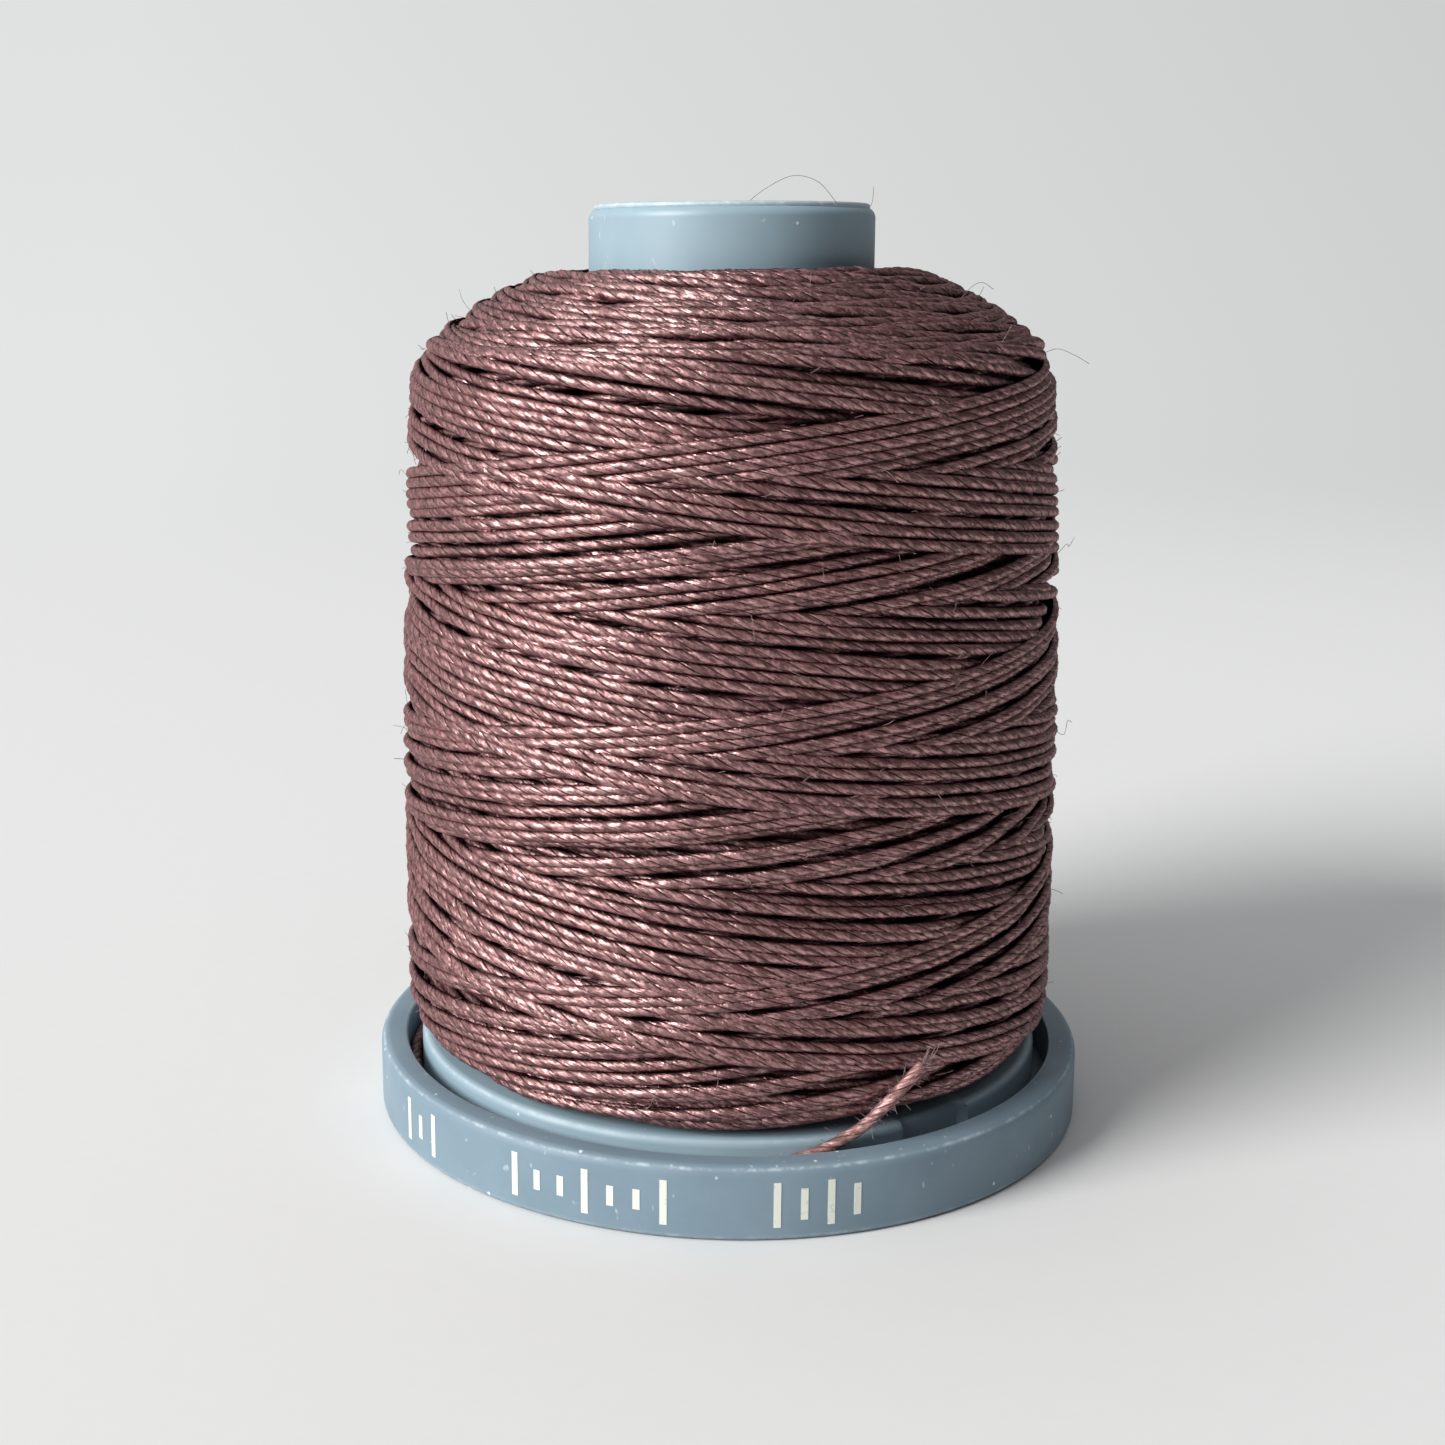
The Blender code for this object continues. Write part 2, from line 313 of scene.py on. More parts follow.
def thread_material(name, groove, body, pale, roughness, shaded_from=None):
    """Waxed filament thread: thin dark lines of painted shade between its plies, streaky fibres, and pale
    patches and bright flecks, painted highlights and glints on the wax.

    Where it is wound, painted shade darkens its flanks, where the strands meet, over shaded_from, a range of
    how far a point faces outwards. The gloss varies with the patches and drops in the painted shade; the
    socket's own value is about its mean, for when the link is dropped."""
    look, tree, shader = new_material(
        name, IOR=THREAD_IOR, Specular_IOR_Level=MEAN_SHINE, Specular_Tint=WAX_TINT
    )
    fibre = attribute(tree, "fibre", "Vector")
    crest = attribute(tree, "crest", "Fac")
    filaments = noise(tree, scaled(tree, fibre, FILAMENT_SCALE), 1.0, roughness=0.6)
    patches = noise(tree, scaled(tree, fibre, PATCH_SCALE), 1.0, detail=3.0, roughness=0.65)
    flecks = noise(tree, scaled(tree, fibre, FLECK_SCALE), 1.0, detail=1.0)
    tone = noise(tree, scaled(tree, fibre, TONE_SCALE), 1.0)
    dark_streak, light_streak = (shaded(body, factor) for factor in STREAK_SHADES)
    colour = mixed(tree, mapped(tree, filaments, *STREAKS), dark_streak, light_streak)
    # Painted highlights: pale patches, then brighter flecks as painted glints.
    colour = mixed(tree, mapped(tree, patches, *PAINTED_HIGHLIGHT_PATCHES), colour, pale)
    colour = mixed(tree, mapped(tree, flecks, *PAINTED_GLINT_FLECKS), colour, shaded(pale, PAINTED_GLINT_GAIN))
    shade = mapped(tree, tone, *TONE_SHADES)
    toned = add(tree, "VectorMath", {0: colour, "Scale": shade}, operation="SCALE").outputs["Vector"]
    # Painted shade: the ply grooves go dark, their edges frayed by the filaments.
    ragged = maths(tree, "MULTIPLY_ADD", filaments, EDGE_FRAY, maths(tree, "SUBTRACT", crest, GROOVE_EDGE))
    open_ply = mapped(tree, ragged, *OPEN_PLY)
    # Painted shade on the wound strands' flanks, where they meet their neighbours.
    if shaded_from:
        outer = mapped(tree, attribute(tree, "facing", "Fac"), *shaded_from)
        open_ply = maths(tree, "MULTIPLY", open_ply, outer)
    relief = maths(tree, "MULTIPLY_ADD", patches, 1.5, filaments)
    drive(
        tree,
        shader,
        Base_Color=mixed(tree, open_ply, groove, toned),
        Specular_IOR_Level=maths(tree, "MULTIPLY", open_ply, mapped(tree, patches, *PATCH_SHINE)),
        Roughness=mapped(tree, patches, 0.38, 0.62, roughness + 0.14, roughness - 0.06),
        Normal=add(tree, "Bump", {**THREAD_BUMP, "Height": relief}).outputs["Normal"],
    )
    return look


# --- Free end of the thread ---

THREAD_DIAMETER = 0.55 * MM
GROOVE_RADIUS = 0.01536
# Stops along the free end's centreline: radius, azimuth in degrees, height. It leaves the package low at the
# right and behind, lies round the lock groove by the back, and comes out at the front.
TAIL_STOPS = (
    (0.01575, 110.0, 0.0048),
    (0.01567, 116.0, 0.0044),
    (0.01554, 122.0, 0.0039),
    (0.01542, 128.0, 0.0033),
    (GROOVE_RADIUS, 137.0, 0.0026),
    (GROOVE_RADIUS, 152.0, 0.0021),
    (GROOVE_RADIUS, 180.0, 0.0019),
    (GROOVE_RADIUS, 335.0, 0.0019),
    (GROOVE_RADIUS, 356.0, 0.0021),
    (GROOVE_RADIUS, 367.0, 0.0026),
    (GROOVE_RADIUS, 375.0, 0.0031),
    (0.01550, 381.8, 0.0040),
    (0.01575, 384.7, 0.0048),
    (0.01595, 387.0, 0.0055),
    (0.01610, 389.0, 0.0061),
    (0.01620, 391.2, 0.0067),
)
# The widest step between stops, in degrees.
TAIL_STOP_SPREAD = 12.0
# The colours of its grooves' painted shade, its body and its pale patches of painted highlight, and its
# roughness.
LOOSE_THREAD = ((0.045, 0.019, 0.016, 1.0), (0.135, 0.064, 0.055, 1.0), (0.32, 0.205, 0.18, 1.0), 0.62)


def on_axis(radius, azimuth, height):
    """Points at these radii and heights, at azimuths in radians."""
    return np.stack([radius * np.sin(azimuth), -radius * np.cos(azimuth), height], axis=-1)


def smooth_route(stops, spacing):
    """Points about this far apart along a Catmull-Rom curve through the stops."""
    ends = np.vstack([stops[0] * 2.0 - stops[1], stops, stops[-1] * 2.0 - stops[-2]])
    points = []
    for before, start, end, after in zip(ends, ends[1:], ends[2:], ends[3:]):
        pieces = max(1, round(float(np.linalg.norm(end - start)) / spacing))
        t = np.arange(pieces)[:, None] / pieces
        curve = 2.0 * start + (end - before) * t + (2.0 * before - 5.0 * start + 4.0 * end - after) * t**2
        points.append(0.5 * (curve + (3.0 * start - before - 3.0 * end + after) * t**3))
    return np.vstack([*points, stops[-1]])


def eased(share):
    """From 0 to 1, slowly at both ends."""
    share = np.clip(share, 0.0, 1.0)
    return share * share * (3.0 - 2.0 * share)


def tail_route():
    """The free end's centreline, from the package to its tip."""
    stops = []
    for start, end in zip(np.array(TAIL_STOPS), np.array(TAIL_STOPS[1:])):
        pieces = max(1, math.ceil((end[1] - start[1]) / TAIL_STOP_SPREAD))
        radius, azimuth, height = start[:, None] + (end - start)[:, None] * (np.arange(pieces) / pieces)
        stops.append(on_axis(radius, np.radians(azimuth), height))
    radius, azimuth, height = TAIL_STOPS[-1]
    stops.append(on_axis(radius, math.radians(azimuth), height)[None, :])
    return smooth_route(np.vstack(stops), RING_SPACING)


def build_tail(centres):
    """The free end, a cord from the package to its cut tip. Returns its length."""
    along = along_lengths(centres)
    out = centres * (1.0, 1.0, 0.0)
    mesh = strand_mesh("thread_free_end", [(centres, out, along)], THREAD_DIAMETER, plied_section(), LAY)
    look = thread_material("loose_thread", *LOOSE_THREAD)
    piece = place("thread_free_end", mesh, look, "core", "loose_thread", "thread_tail")
    return float(along[-1])


tail_centres = tail_route()
tail_length = build_tail(tail_centres)

# --- Wound package ---

THREAD_LENGTH = 60.0
WOUND_DIAMETER = 0.53 * MM
THREAD_PITCH = 0.50 * MM
# The thread runs up and down the package in double strokes, each a little less than this many turns.
TURNS_PER_DOUBLE_STROKE = 6.0
DOUBLE_STROKES = 143
WINDING_BOTTOM = 4.20 * MM
# The azimuth where the last double stroke starts, and how much of a turning back is rounded, in turns.
LAST_STROKE_START = 0.371
TURNING_SHARE = 0.13
BARREL_RADIUS = 6.57 * MM
PACKAGE_RADIUS = 15.2 * MM
# Where the strokes turn back at the top: radius of the growing package, and height, in millimetres.
SHOULDER = (
    *((6.9, 39.6), (8.2, 39.7), (9.7, 39.65), (10.9, 39.3)),
    *((12.6, 38.35), (13.9, 37.4), (14.8, 36.7), (15.2, 36.45)),
)
# The finished package's outside: height and radius, in millimetres.
PACKAGE_PROFILE = (
    *((3.9, 14.9), (4.6, 15.25), (5.8, 15.52), (18.0, 15.52), (25.0, 15.32), (32.0, 15.02), (35.0, 14.8)),
    *((36.2, 14.35), (37.0, 13.35), (38.0, 11.95), (38.8, 10.4), (39.3, 9.3), (39.8, 7.9)),
)
# The wound surface is kept as a grid of radii, one row for each cell of height.
STEPS_PER_TURN = 180
FIELD_CELL = 0.05 * MM
FIELD_BOTTOM = 3.6 * MM
FIELD_ROWS = 750
CONTACT_RADIUS = 0.25 * MM
# The thread wanders up and down a little, and turns back at a slightly different height each time.
WANDER = 0.03 * MM
WANDER_STEPS = 40
STAGGER = 0.5 * MM
TAUT_PASSES = 40
SMOOTHING = (0.25, 0.5, 0.25)
# The press stops below the shoulder, and only grows beyond these two heights.
PRESS_TOP = 35.8 * MM
ENDS_FROM = (5.8 * MM, 34.2 * MM)
# The outer strands' depth under the surface, how far they may stand proud, and how deeper ones are packed.
LEVEL_DEPTH = 0.20 * MM
PROUD_LIMIT = 0.15 * MM
PACKED_SHARE = 0.35
PACKED_DEPTH = 1.2 * MM
# How far over the wound surface its humps are evened out, and how much of them goes.
EVENING_STEPS = 5.0
EVENING_ROWS = 16.0
EVENED_SHARE = 0.8
ROW_SMOOTHING = 4.0
SURFACE_RELIEF = 0.13 * MM

PLIED_DOUBLE_STROKES = 21
STROKES_PER_PIECE = 3
# Earlier strokes show only where they turn back on the shoulder.
SHOULDER_DEPTH = 1.5 * MM
COARSE_STEP = 6
INNER_PIECES = 3
SHOULDER_PIECES = 2
# The last stretch before the free end, which leads to it.
LEAD_TURN = math.radians(30.0)
# The colours of its grooves' painted shade, its body and its pale patches of painted highlight, its
# roughness, and where painted shade darkens its flanks.
WOUND_THREAD = (
    (0.015, 0.005, 0.005, 1.0),
    (0.056, 0.0145, 0.016, 1.0),
    (0.222, 0.086, 0.089, 1.0),
    0.40,
    (-0.1, 0.5),
)


def stroke_plan():
    """For each double stroke: its first turn, how far up it runs, and its climb for each turn."""
    share = (np.arange(DOUBLE_STROKES) + 0.5) / DOUBLE_STROKES
    radius = np.sqrt(BARREL_RADIUS**2 + (PACKAGE_RADIUS**2 - BARREL_RADIUS**2) * share)
    shoulder = np.array(SHOULDER) * MM
    top = np.interp(radius, shoulder[:, 0], shoulder[:, 1])
    span = top - WINDING_BOTTOM
    climb = (2.0 * span + THREAD_PITCH) / TURNS_PER_DOUBLE_STROKE
    turns = 2.0 * span / climb
    first = LAST_STROKE_START - (np.cumsum(turns[::-1])[::-1] - turns[-1])
    return first, span, climb


def stroke_heights(turn, span, climb):
    """Heights along a double stroke, up and down again, rounded where it turns back."""
    half = span / climb
    ease = TURNING_SHARE
    to_top = np.abs(turn - half)
    to_bottom = np.minimum(turn, 2.0 * half - turn)
    height = half + ease / 2.0 - np.where(to_top < ease, ease / 2.0 + to_top**2 / (2.0 * ease), to_top)
    rise = np.where(to_bottom < ease, to_bottom**2 / (2.0 * ease), height - ease)
    return WINDING_BOTTOM + rise * span / (half - ease)


def lay_stroke(field, steps, height, start_radius):
    """Lays one stroke taut over what is already wound, and raises the wound surface under it."""
    reach = int(CONTACT_RADIUS / FIELD_CELL) + 1
    row = (height - FIELD_BOTTOM) / FIELD_CELL - 0.5
    rows = np.round(row).astype(int)[:, None] + np.arange(-reach, reach + 1)[None, :]
    offset = (rows - row[:, None]) * FIELD_CELL
    under = np.abs(offset) < CONTACT_RADIUS
    lift = np.sqrt(np.maximum(CONTACT_RADIUS**2 - offset**2, 0.0))
    rows = np.clip(rows, 0, FIELD_ROWS - 1)
    place_in_turn = (steps % STEPS_PER_TURN)[:, None]
    touching = np.where(under, field[place_in_turn, rows] + lift, 0.0).max(axis=1)
    radius = touching.copy()
    radius[0] = max(radius[0], start_radius)
    sag = (2.0 * math.pi / STEPS_PER_TURN) ** 2 / 2.0 * radius.mean()
    for _ in range(TAUT_PASSES):
        radius[1:-1] = np.maximum(touching[1:-1], (radius[:-2] + radius[2:]) / 2.0 - sag)
    laid = np.where(under, radius[:, None] + lift, 0.0)
    field[place_in_turn, rows] = np.maximum(field[place_in_turn, rows], laid)
    return radius


def wind():
    """The whole wound thread's azimuth, height and radius, and the index where each double stroke starts."""
    draw = np.random.RandomState(5)
    stagger = draw.uniform(0.0, STAGGER, (DOUBLE_STROKES + 1, 2))
    field = np.full((STEPS_PER_TURN, FIELD_ROWS), BARREL_RADIUS)
    steps, heights, radii, starts = [], [], [], []
    radius_now = BARREL_RADIUS
    count = 0
    for number, (first, span, climb) in enumerate(zip(*stroke_plan())):
        turned_back = np.array((0.0, 1.0, 2.0)) * span / climb
        offsets = (stagger[number, 0], -stagger[number, 1], stagger[number + 1, 0])
        ends = np.ceil((first + turned_back) * STEPS_PER_TURN).astype(int)
        starts.append(count)
        for begin, end in zip(ends, ends[1:]):
            stroke = np.arange(begin, end)
            height = stroke_heights(stroke / STEPS_PER_TURN - first, span, climb)
            height = height + np.interp(stroke / STEPS_PER_TURN - first, turned_back, offsets)
            knots = np.arange(begin, end + 2 * WANDER_STEPS, WANDER_STEPS)
            height = height + np.interp(stroke, knots, draw.normal(0.0, WANDER, len(knots)))
            radius = lay_stroke(field, stroke, height, radius_now)
            radius_now = radius[-1]
            steps.append(stroke)
            heights.append(height)
            radii.append(radius)
            count += len(stroke)
    steps = np.concatenate(steps)
    azimuth = steps * 2.0 * math.pi / STEPS_PER_TURN
    height = np.concatenate(heights)
    radius = fit_to_profile(field, steps, height, np.concatenate(radii))
    radius = np.convolve(np.pad(radius, 1, mode="edge"), SMOOTHING, mode="valid")
    return azimuth, height, radius, starts


def evened(values, spread, axis):
    """Values averaged along one axis under a bell of this spread."""
    reach = int(3.0 * spread)
    bell = np.exp(-0.5 * (np.arange(-reach, reach + 1) / spread) ** 2)
    mode = "wrap" if axis == 0 else "edge"
    padding = [(reach, reach) if axis == which else (0, 0) for which in range(2)]
    padded = np.pad(values, padding, mode=mode)
    return np.apply_along_axis(np.convolve, axis, padded, bell / bell.sum(), mode="valid")


def fit_to_profile(field, steps, height, radius):
    """Presses the layers together so that the outside has the package's profile, and evens out its humps.

    Towards both ends, where the strokes turn back and pile up, the press only grows. No strand stands proud
    of its level by more than PROUD_LIMIT, and the layers just under it are packed up to it."""
    row_height = FIELD_BOTTOM + (np.arange(FIELD_ROWS) + 0.5) * FIELD_CELL
    used = (row_height > WINDING_BOTTOM) & (row_height < PRESS_TOP)
    wound, row_height = field[:, used], row_height[used]
    around = wound.mean(axis=0)[None, :]
    humps = evened(evened(wound - around, EVENING_STEPS, 0), EVENING_ROWS, 1)
    outside = evened(around, ROW_SMOOTHING, 1) + humps * EVENED_SHARE
    profile = np.array(PACKAGE_PROFILE) * MM
    wanted = np.interp(row_height, profile[:, 0], profile[:, 1]) - SURFACE_RELIEF
    press = (wanted - BARREL_RADIUS)[None, :] / (outside - BARREL_RADIUS)
    upper = int(np.searchsorted(row_height, ENDS_FROM[1]))
    lower = int(np.searchsorted(row_height, ENDS_FROM[0]))
    press[:, upper:] = np.minimum.accumulate(press[:, upper:], axis=1)
    press[:, :lower] = np.minimum.accumulate(press[:, :lower][:, ::-1], axis=1)[:, ::-1]
    finished = BARREL_RADIUS + (outside - BARREL_RADIUS) * press
    place_in_rows = np.clip((height - row_height[0]) / FIELD_CELL, 0.0, len(row_height) - 1.001)
    row = place_in_rows.astype(int)
    share = place_in_rows - row
    turn = steps % STEPS_PER_TURN
    pressed, surface = (
        grid[turn, row] * (1.0 - share) + grid[turn, row + 1] * share for grid in (press, finished)
    )
    radius = BARREL_RADIUS + (radius - BARREL_RADIUS) * pressed
    cone = np.interp(height, profile[:, 0], profile[:, 1])
    level = np.where(height < PRESS_TOP, surface, np.minimum(surface, cone)) - LEVEL_DEPTH
    proud = np.maximum(radius - level, 0.0)
    deep = np.maximum(level - radius, 0.0)
    deep = deep * (1.0 - PACKED_SHARE * np.exp(-deep / PACKED_DEPTH))
    return level - deep + PROUD_LIMIT * np.tanh(proud / PROUD_LIMIT)


def join_to_tail(azimuth, height, radius):
    """Cuts the last stroke where the free end leaves the package, and leads it there."""
    tail_radius, tail_azimuth, tail_height = TAIL_STOPS[0]
    turns = math.floor(azimuth[-1] / (2.0 * math.pi))
    end = math.radians(tail_azimuth) + turns * 2.0 * math.pi
    if end > azimuth[-1]:
        end = end - 2.0 * math.pi
    kept = azimuth <= end
    azimuth, height, radius = azimuth[kept], height[kept], radius[kept]
    lead = eased((azimuth - (azimuth[-1] - LEAD_TURN)) / LEAD_TURN)
    height = height + (tail_height - height[-1]) * lead
    radius = radius + (tail_radius - radius[-1]) * lead
    return azimuth, height, radius


def runs_where(chosen):
    """Where each stretch of chosen begins, and the next index after it ends."""
    edges = np.flatnonzero(np.diff(np.concatenate([[0], chosen.astype(int), [0]])))
    return list(zip(edges[::2], edges[1::2]))


def build_winding(look):
    """The whole wound thread: its outer strokes plied, and its hidden ones plain and coarser."""
    azimuth, height, radius, starts = wind()
    azimuth, height, radius = join_to_tail(azimuth, height, radius)
    along = along_lengths(on_axis(radius, azimuth, height))
    first_kept = int(np.searchsorted(along, along[-1] - (THREAD_LENGTH - tail_length)))
    surface = starts[-PLIED_DOUBLE_STROKES]

    def fine_run(begin, end):
        rings = max(3, round((along[end] - along[begin]) / RING_SPACING))
        at = np.linspace(along[begin], along[end], rings)
        turn = np.interp(at, along, azimuth)
        centres = on_axis(np.interp(at, along, radius), turn, np.interp(at, along, height))
        return centres, on_axis(1.0, turn, 0.0 * at), at

    def coarse_run(begin, end):
        at = np.append(np.arange(begin, end, COARSE_STEP), end)
        centres = on_axis(radius[at], azimuth[at], height[at])
        return centres, on_axis(1.0, azimuth[at], 0.0 * height[at]), along[at]

    def add_piece(kind, number, runs, section, lay):
        mesh = strand_mesh(f"thread_{kind}_{number}", runs, WOUND_DIAMETER, section, lay)
        place(mesh.name, mesh, look, "core", "waxed_thread", "thread_winding")

    top = np.zeros(len(height))
    for begin, end in zip(starts, starts[1:] + [len(height)]):
        top[begin:end] = height[begin:end].max()
    order = np.arange(len(height))
    older = (order < surface) & (order >= first_kept)
    shows = height > top - SHOULDER_DEPTH
    for kind, chosen, pieces, make_run, section, lay in (
        ("shoulder", older & shows, SHOULDER_PIECES, fine_run, plied_section(), LAY),
        ("inner", older & ~shows, INNER_PIECES, coarse_run, PLAIN_SECTION, None),
    ):
        stretches = runs_where(chosen)
        for number in range(pieces):
            share = stretches[number * len(stretches) // pieces : (number + 1) * len(stretches) // pieces]
            add_piece(kind, number + 1, [make_run(*stretch) for stretch in share], section, lay)
    edges = [*starts[-PLIED_DOUBLE_STROKES::STROKES_PER_PIECE], len(azimuth) - 1]
    for number, run in enumerate(zip(edges, edges[1:]), start=1):
        add_piece("turns", number, [fine_run(*run)], plied_section(), LAY)


build_winding(thread_material("waxed_thread", *WOUND_THREAD))

# --- Fuzz: broken fibres that stand out of the thread, and a few long strays ---

FIBRE_DIAMETER = 0.028 * MM
FIBRE_SECTION = tuple((turn, 1.0) for turn in range(0, 360, 120))
FIBRE_SPACING = 0.12 * MM
# A direction that no fibre runs along.
FIBRE_SIDE = (0.31, 0.57, 0.76)
# On the winding: roots just under its surface, a share outwards, and a curl.
FUZZ_COUNT = 700
FUZZ_TOP = 39.4 * MM
FUZZ_DEPTH = 0.12 * MM
FUZZ_LENGTH = (0.25 * MM, 1.0 * MM)
FUZZ_OUTWARD = (0.25, 0.8)
FUZZ_UPWARD = (0.2, 0.45)
FUZZ_CURL = (0.2, 0.9)
# On the last rings of the free end, and frayed out of its tip.
TAIL_FUZZ_COUNT = 90
TAIL_FUZZ_RINGS = 26
TAIL_FUZZ_REACH = 0.30 * MM
FRAYED_FIBRES = 26
FRAY_SPLAY = 0.30
FRAY_BEND = 0.25
FRAY_SPREAD = 0.09 * MM
FRAY_ROOT = 0.2 * MM
FRAY_LENGTH = (0.4, 0.9)
FUZZ_DARK = (0.13, 0.06, 0.06, 1.0)
FUZZ_PALE = (0.36, 0.25, 0.25, 1.0)
# Long strays, as stops of (radius, azimuth in degrees, height), in millimetres.
STRAYS = (
    ((6.2, 5.0, 42.5), (6.0, 14.0, 43.2), (6.0, 26.0, 43.75), (6.1, 38.0, 43.5), (6.3, 47.0, 42.6)),
    ((6.3, 72.0, 42.3), (6.5, 76.0, 42.7), (6.6, 74.0, 43.4)),
    ((14.2, 82.0, 36.0), (14.9, 84.0, 36.2), (15.7, 86.0, 35.9), (16.4, 87.0, 35.5)),
    ((11.2, 62.0, 38.4), (11.6, 64.0, 39.0), (11.9, 67.0, 39.2), (12.3, 69.0, 38.9)),
    ((12.2, -92.0, 37.9), (12.6, -93.0, 38.4), (12.9, -96.0, 38.9)),
    ((15.3, 88.0, 26.6), (15.8, 89.0, 27.1), (16.0, 91.0, 26.9), (16.3, 92.0, 27.3)),
    ((15.5, 87.0, 18.3), (16.0, 88.0, 18.0), (16.2, 89.0, 18.6), (16.5, 91.0, 18.4)),
    ((15.2, -88.0, 30.2), (15.6, -90.0, 30.5), (15.8, -92.0, 30.2)),
    ((15.5, -14.0, 5.2), (15.8, -13.0, 5.0), (15.8, -11.5, 5.3), (15.6, -11.0, 5.6), (15.9, -10.0, 5.4)),
)


def fibre_run(points):
    """A fine strand along points given as an array."""
    centres = smooth_route(points, FIBRE_SPACING)
    side = np.cross(np.gradient(centres, axis=0), FIBRE_SIDE)
    return centres, side, along_lengths(centres)


def build_fuzz(look):
    """Short broken fibres on the winding and the free end, its frayed tip, and the long strays."""
    draw = np.random.RandomState(11)
    profile = np.array(PACKAGE_PROFILE) * MM
    up = np.array((0.0, 0.0, 1.0))
    share = np.linspace(0.0, 1.0, 5)[:, None]
    runs = []
    for _ in range(FUZZ_COUNT):
        height = draw.uniform(WINDING_BOTTOM, FUZZ_TOP)
        radius = np.interp(height, profile[:, 0], profile[:, 1])
        azimuth = draw.uniform(-math.pi, math.pi)
        root = on_axis(radius - FUZZ_DEPTH, azimuth, height)
        outward = on_axis(1.0, azimuth, 0.0)
        along = on_axis(1.0, azimuth + math.pi / 2.0, 0.0)
        heading = outward * draw.uniform(*FUZZ_OUTWARD) + along * draw.normal(0.0, 1.0)
        heading = heading + up * draw.normal(*FUZZ_UPWARD)
        heading /= np.linalg.norm(heading)
        curl = (along * draw.normal(0.0, 1.0) + up * draw.normal(0.0, 1.0)) * draw.uniform(*FUZZ_CURL)
        length = draw.uniform(*FUZZ_LENGTH) * draw.uniform(0.5, 1.0)
        runs.append(fibre_run(root + heading * length * share + curl * length * share**2 * 0.6))
    for _ in range(TAIL_FUZZ_COUNT):
        root = tail_centres[draw.randint(-TAIL_FUZZ_RINGS, -1)]
        reach = draw.normal(0.0, 1.0, 3) * TAIL_FUZZ_REACH
        runs.append(fibre_run(root + reach * np.linspace(0.0, 1.0, 4)[:, None]))
    tip = tail_centres[-1]
    heading = (tip - tail_centres[-4]) / np.linalg.norm(tip - tail_centres[-4])
    for _ in range(FRAYED_FIBRES):
        splay = heading + draw.normal(0.0, FRAY_SPLAY, 3)
        start = tip + draw.normal(0.0, FRAY_SPREAD, 3) - heading * FRAY_ROOT
        bend = draw.normal(0.0, FRAY_BEND, 3)
        runs.append(fibre_run(start + (splay * share + bend * share**2) * draw.uniform(*FRAY_LENGTH) * MM))
    for stops in STRAYS:
        radius, azimuth, height = np.array(stops).T
        runs.append(fibre_run(on_axis(radius * MM, np.radians(azimuth), height * MM)))
    mesh = strand_mesh("thread_fuzz", runs, FIBRE_DIAMETER, FIBRE_SECTION, None)
    place("thread_fuzz", mesh, look, "core", "loose_thread")


def fuzz_material():
    """Dry broken fibres, paler than the thread they come from."""
    look, tree, shader = new_material("fuzz", Specular_IOR_Level=0.6, Sheen_Weight=0.2)
    fibre = attribute(tree, "fibre", "Vector")
    tone = noise(tree, scaled(tree, fibre, (800.0, 800.0, 2500.0)), 1.0)
    colour = mixed(tree, mapped(tree, tone, 0.35, 0.65), FUZZ_DARK, FUZZ_PALE)
    drive(tree, shader, Base_Color=colour, Roughness=mapped(tree, tone, 0.3, 0.7, 0.6, 0.45))
    return look


build_fuzz(fuzz_material())

# --- Moulded plastic ---

TURN_STEPS = 360
FILLET_STEPS = 8
SHARP_ANGLE = math.radians(35.0)
WELD_DISTANCE = 0.0001 * MM

BASE_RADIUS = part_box("base_cap")[1].x
RIM_HEIGHT = 3.3 * MM
RIM_INNER_RADIUS = 15.73 * MM
RIM_TOP_FILLET = 0.45 * MM
RIM_INNER_FILLET = 0.15 * MM
BASE_FOOT_FILLET = 0.25 * MM
FLOOR_TOP = 1.2 * MM
FOOT_INNER_RADIUS = 12.8 * MM
FOOT_RECESS = 0.4 * MM
SPINDLE_RADIUS = 3.3 * MM
STEM_RADIUS = 4.65 * MM
BARB_RADIUS = 5.15 * MM
BARB_BOTTOM = 11.0 * MM
BARB_EDGE = 0.3 * MM
STEM_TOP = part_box("base_cap")[1].z
STEM_TIP_RADIUS = 4.4 * MM
FINGER_SLOT_WIDTH = 1.1 * MM
FINGER_SLOT_BOTTOM = 4.5 * MM
FINGER_SLOT_TURNS = (45.0, 135.0)
MOULD_SEAM = math.radians(-47.5)
MOULD_SEAM_WIDTH = math.radians(0.25)
MOULD_SEAM_PROUD = 0.03 * MM

FLANGE_RADIUS = 15.0 * MM
FLANGE_BOTTOM = 1.5 * MM
FLANGE_TOP = 3.6 * MM
FLANGE_FILLET = 0.4 * MM
WEB_BOTTOM = 2.5 * MM
HUB_BOTTOM = 1.9 * MM
WEB_INNER_RADIUS = 7.8 * MM
WEB_OUTER_RADIUS = 13.7 * MM
BORE_RADIUS = 5.45 * MM
COLLAR_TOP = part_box("spool_core")[1].z
COLLAR_FILLET = 0.5 * MM
COLLAR_BEAD = 0.16 * MM
# Where the collar's rounding ends and the bead on it starts, in degrees from outward.
COLLAR_FILLET_END = 62.0
COLLAR_BEAD_START = -20.0
END_WALL = 1.2 * MM
SPINDLE_LEAD_IN = 0.3 * MM
LEDGE_RADIUS = 4.95 * MM
LEDGE_BOTTOM = 7.6 * MM
LEDGE_TOP = 8.5 * MM
LEDGE_LEAD = 0.5 * MM

CATCH_START = math.radians(31.5)
CATCH_END = math.radians(46.0)
CATCH_EASE = math.radians(0.7)
CATCH_DEPTH = 0.45 * MM
CATCH_DROP = 0.16 * MM
CATCH_SEAM_WIDTH = math.radians(0.3)
CATCH_SEAM_DEPTH = 0.3 * MM
# The catch moves only what lies within this many fillets of the flange's edge.
CATCH_BAND = 1.05

PRINT_HEIGHT = 2.0 * MM
PRINT_MIDDLE = 1.62 * MM
PRINT_THICKNESS = 0.02 * MM
